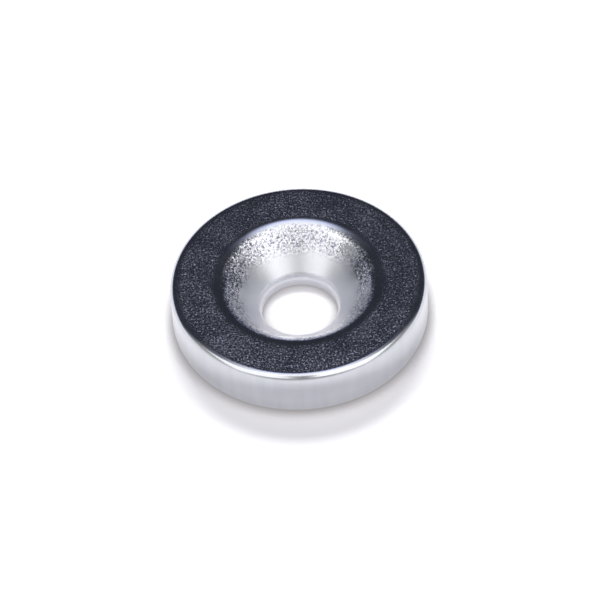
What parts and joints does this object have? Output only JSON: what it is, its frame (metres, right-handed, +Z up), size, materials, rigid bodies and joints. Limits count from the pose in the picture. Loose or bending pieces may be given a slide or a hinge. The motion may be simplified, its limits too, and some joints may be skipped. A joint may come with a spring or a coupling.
{
  "type": "countersunk ring magnet",
  "caption": "Flat ring magnet with a bright nickel-plated finish and a countersunk screw hole through its centre.",
  "frame": {"origin": "centre of the plain bottom face, on the axis of the screw hole, at ground level", "axes": "+Z up along the axis, out of the countersink; X and Y are alike, because the ring is round"},
  "size_m": [0.015, 0.015, 0.003],
  "materials": {
    "nickel_plating": "bright nickel plating over a finely grained sintered body"
  },
  "bodies": {
    "root": {"ring_magnet": "nickel_plating"}
  },
  "joints": []
}
